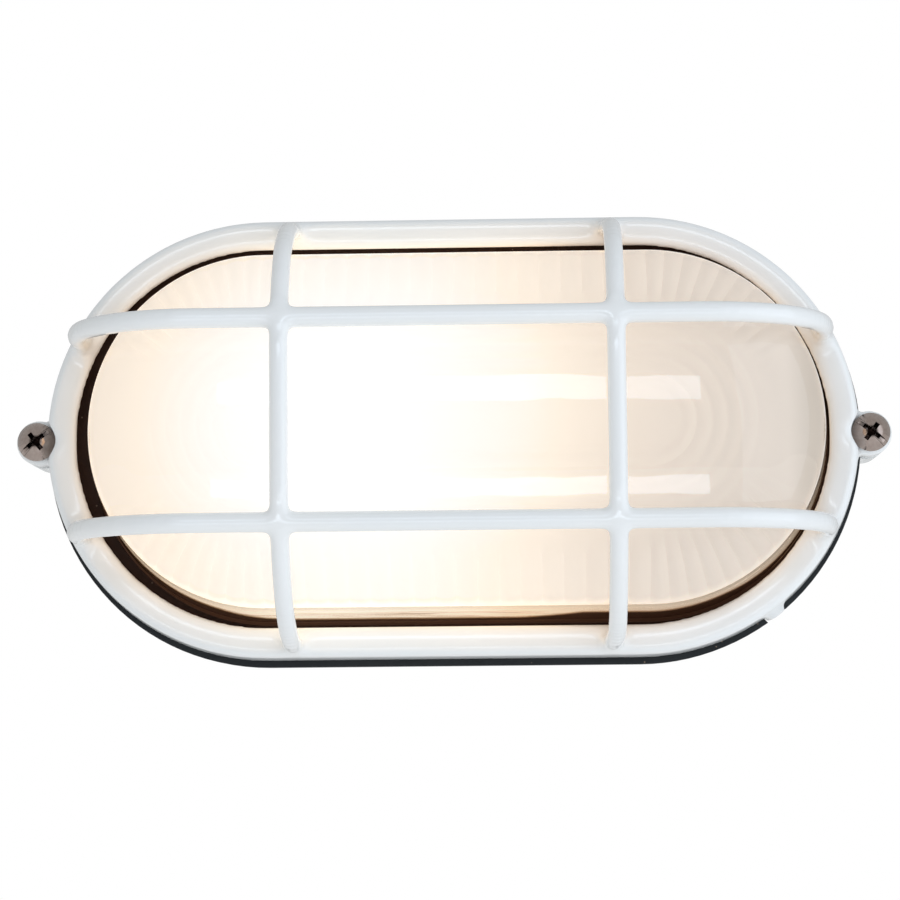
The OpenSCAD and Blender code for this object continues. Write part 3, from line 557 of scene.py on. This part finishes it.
seal = put(tree, "ShaderNodeBsdfPrincipled", {
    "Base Color": dusted, "Roughness": 0.62, "Specular IOR Level": 0.2, "Normal": skin})
put(tree, "ShaderNodeOutputMaterial", {"Surface": seal})
# The guard squeezes the ring most at its two ends, so there it stands out less than below.
seal_skin = bmesh.new()
seal_skin.from_mesh(nodes["gasket"].data)
bmesh.ops.remove_doubles(seal_skin, verts=seal_skin.verts, dist=weld)
squeeze_left, squeeze_right = 0.0009, 0.0005
for vertex in seal_skin.verts:
    past_run = max(abs(vertex.co.x) - straight_half, 0.0)
    from_spine = math.hypot(past_run, vertex.co.z)
    squeeze = squeeze_left if vertex.co.x < 0 else squeeze_right
    squeeze *= (past_run / from_spine) ** 2 * ease(from_spine, lip_radius, edge_radius)
    vertex.co.x -= math.copysign(squeeze, vertex.co.x)
pressed_ring = new_piece("pressed_gasket", seal_skin)
pressed_ring.data.materials.append(dusty_rubber)
pressed_ring.data.shade_smooth()
pressed_ring.data.set_sharp_from_angle(angle=crease)
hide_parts("gasket")
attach(pressed_ring, "root")


# Guard: the rim that holds the glass down and the four arched bars in front of it, one aluminium
# die casting with soft blends where the bars cross and run into the rim. Powder coated gloss white.
guard_skin = bmesh.new()
guard_skin.from_mesh(nodes["guard"].data)
bmesh.ops.remove_doubles(guard_skin, verts=guard_skin.verts, dist=weld)
cast_guard = new_piece("cast_guard", guard_skin)
cast_skin = cast_guard.modifiers.new("cast skin", "REMESH")
cast_skin.mode = "VOXEL"
cast_skin.voxel_size = 0.00086
blend = cast_guard.modifiers.new("soft blends", "SMOOTH")
blend.factor = 0.5
blend.iterations = 10
bake(cast_guard)
# Softening thins the bars, so they are let out again by as much. Their ends are drawn in to the
# edge of the rim, and the right upright leans out a little at the front.
bar_let_out, lean = 0.00016, 0.0009
draw_in_ends, draw_in_top, draw_in_foot = 0.0009, 0.0011, 0.0004
rim_crest = 0.05
tip_start, tip_full = 0.11, 0.122
side_start, side_full = 0.05, 0.062
upright_middle, upright_near, upright_far = 0.05, 0.01, 0.03
out_from_skin = [vertex.normal.copy() for vertex in cast_guard.data.vertices]
for vertex, out in zip(cast_guard.data.vertices, out_from_skin):
    x, ahead, z = vertex.co.x, -vertex.co.y - rim_crest, vertex.co.z
    off_rim = ease(ahead, 0.0005, 0.005)
    vertex.co += out * bar_let_out * ease(ahead, 0.002, 0.008)
    vertex.co.x -= math.copysign(draw_in_ends * ease(abs(x), tip_start, tip_full) * off_rim, x)
    vertex.co.z -= draw_in_top * ease(z, side_start, side_full) * off_rim
    vertex.co.z += draw_in_foot * ease(-z, side_start, side_full) * off_rim
    upright = ease(abs(x - upright_middle), upright_far, upright_near)
    vertex.co.x += lean * upright * ease(ahead, 0.004, 0.02)
# The coat flows over the small steps of the casting, so it is shaded by a softer shape.
coat_passes = 24
coat_skin = bmesh.new()
coat_skin.from_mesh(cast_guard.data)
for _ in range(coat_passes):
    bmesh.ops.smooth_vert(
        coat_skin, verts=coat_skin.verts, factor=0.5,
        use_axis_x=True, use_axis_y=True, use_axis_z=True)
coat_skin.normal_update()
coat_out = [vertex.normal.copy() for vertex in coat_skin.verts]
coat_skin.free()
cast_guard.data.materials.clear()
cast_guard.data.materials.append(powder_coat)
cast_guard.data.shade_smooth()
cast_guard.data.normals_split_custom_set_from_vertices(coat_out)
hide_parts("guard")
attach(cast_guard, "root")


# Cover screws: two stainless pan-head screws with a slot and a cross recess, each on a rubber
# washer, through the guard's ears into the ears of the base.

# Cold-headed stainless steel: bright, with fine die marks, and painted shade that darkens the
# recess.
stainless, tree, place = new_finish("stainless steel, cold headed")
marks = put(tree, "ShaderNodeTexNoise", {"Vector": place, "Scale": per_mm(1.2), "Detail": 4.0})
colour = mixed(tree, marks, "#9A887F", "#BBAEA6")
axis = put(tree, "ShaderNodeSeparateXYZ", {"Vector": place})
out_x = put(tree, "ShaderNodeMath", {0: axis.outputs["X"]}, operation="ABSOLUTE")
head_radius, head_fall = 0.006, 0.001224
across_slot = (0.66, 0.0, 0.75)
head_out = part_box("cover_screws")[1].x - head_radius
off_x = put(tree, "ShaderNodeMath", {0: out_x, 1: head_out}, operation="SUBTRACT")
off_axis = put(tree, "ShaderNodeCombineXYZ", {"X": off_x, "Z": axis.outputs["Z"]})
radius = put(tree, "ShaderNodeVectorMath", {0: off_axis}, operation="LENGTH").outputs["Value"]
radius_squared = put(tree, "ShaderNodeMath", {0: radius, 1: 2.0}, operation="POWER")
domed = put(tree, "ShaderNodeMath", {
    0: radius_squared, 1: -head_fall / head_radius ** 2}, operation="MULTIPLY")
off_slot = put(tree, "ShaderNodeVectorMath", {
    0: off_axis, 1: across_slot}, operation="DOT_PRODUCT").outputs["Value"]
from_slot = put(tree, "ShaderNodeMath", {0: off_slot}, operation="ABSOLUTE")
groove = put(tree, "ShaderNodeMapRange", {
    "Value": from_slot, "From Min": 0.0007, "From Max": 0.0009, "To Min": -0.0003, "To Max": 0.0})
headed = put(tree, "ShaderNodeMath", {0: domed, 1: groove}, operation="ADD")
head_skin = put(tree, "ShaderNodeBump", {"Height": headed, "Distance": 1.0})
# Painted shade: the colour goes dark brown where the head is closed in, as the ambient occlusion
# finds, and inside the recess near the axis.
hollow = put(tree, "ShaderNodeAmbientOcclusion", {
    "Distance": 0.0025}, only_local=True).outputs["AO"]
open_share = put(tree, "ShaderNodeMapRange", {"Value": hollow, "From Min": 0.35, "From Max": 0.8})
out_of_recess = put(tree, "ShaderNodeMapRange", {
    "Value": radius, "From Min": 0.0013, "From Max": 0.0021})
bright_share = put(tree, "ShaderNodeMath", {0: open_share, 1: out_of_recess}, operation="MINIMUM")
painted_recess_shade = mixed(tree, bright_share, "#1A110E", colour)
gloss = put(tree, "ShaderNodeMapRange", {"Value": marks, "To Min": 0.1, "To Max": 0.24})
steel = put(tree, "ShaderNodeBsdfPrincipled", {
    "Base Color": painted_recess_shade, "Metallic": 1.0, "Roughness": gloss, "Normal": head_skin})
put(tree, "ShaderNodeOutputMaterial", {"Surface": steel})
lay_on(stainless, "cover_screws")
lay_on(rubber, "screw_washers")


# Studio: a plain pale floor well below the light, a white room that is darker behind the camera,
# strip lights above and below the camera and a soft one at the right. The camera looks up a little.
floor_drop = 0.65
floor_mesh = bmesh.new()
bmesh.ops.create_grid(floor_mesh, size=6.0, matrix=Matrix.Translation((0, 0, -floor_drop)))
floor = new_piece("floor", floor_mesh)
pale, tree, place = new_finish("studio floor, matt white")
scuff = put(tree, "ShaderNodeTexNoise", {"Vector": place, "Scale": per_mm(400), "Detail": 2.0})
colour = mixed(tree, scuff, "#F4F4F4", "#F8F8F8")
board = put(tree, "ShaderNodeBsdfPrincipled", {
    "Base Color": colour, "Roughness": 0.8, "Emission Color": linear("#FFFFFF"),
    "Emission Strength": 0.2})
put(tree, "ShaderNodeOutputMaterial", {"Surface": board})
floor.data.materials.append(pale)

room = bpy.data.worlds.new("white room")
room.use_nodes = True
tree = room.node_tree
tree.nodes.clear()
sight = put(tree, "ShaderNodeTexCoord").outputs["Generated"]
axis = put(tree, "ShaderNodeSeparateXYZ", {"Vector": sight})
rise = put(tree, "ShaderNodeMapRange", {
    "Value": axis.outputs["Z"], "From Min": -1.0, "To Min": 0.66, "To Max": 0.62})
dim = put(tree, "ShaderNodeMapRange", {
    "Value": axis.outputs["Y"], "From Min": -0.97, "From Max": -0.72,
    "To Min": 0.45, "To Max": 1.0})
shade = put(tree, "ShaderNodeMath", {0: rise, 1: dim}, operation="MULTIPLY")
seen = put(tree, "ShaderNodeLightPath").outputs["Is Camera Ray"]
bright = put(tree, "ShaderNodeMix", {"Factor": seen, "A": shade, "B": 1.0})
tint = mixed(tree, seen, "#F3F5F6", "#FFFFFF")
walls = put(tree, "ShaderNodeBackground", {"Color": tint, "Strength": bright})
put(tree, "ShaderNodeOutputWorld", {"Surface": walls})
bpy.context.scene.world = room

aim = Vector((0, -0.08, 0))
for name, spot, wide, tall, power in (
    ("strip above the camera", (0.0, -0.9, 0.216), 0.6, 0.095, 0.7),
    ("strip below the camera", (0.0, -0.9, -0.163), 0.66, 0.067, 0.6),
    ("soft light at the right", (0.9, -0.65, 0.1), 1.2, 1.2, 4.2),
):
    lamp_data = bpy.data.lights.new(name, "AREA")
    lamp_data.shape = "RECTANGLE"
    lamp_data.size, lamp_data.size_y = wide, tall
    lamp_data.energy = power
    lamp_data.color = linear("#E4F0FF")[:3]
    softbox = bpy.data.objects.new(name, lamp_data)
    softbox.location = spot
    softbox.rotation_euler = (aim - Vector(spot)).to_track_quat("-Z", "Y").to_euler()
    bpy.context.scene.collection.objects.link(softbox)

eye = bpy.data.cameras.new("eye")
eye.lens = 108.5
camera = bpy.data.objects.new("eye", eye)
camera.location = (0.0245, -0.885, -0.0907)
camera.rotation_euler = [math.radians(turn) for turn in (95.879, 0.513, 1.766)]
bpy.context.scene.collection.objects.link(camera)
bpy.context.scene.camera = camera
bpy.context.scene.view_settings.view_transform = "Standard"
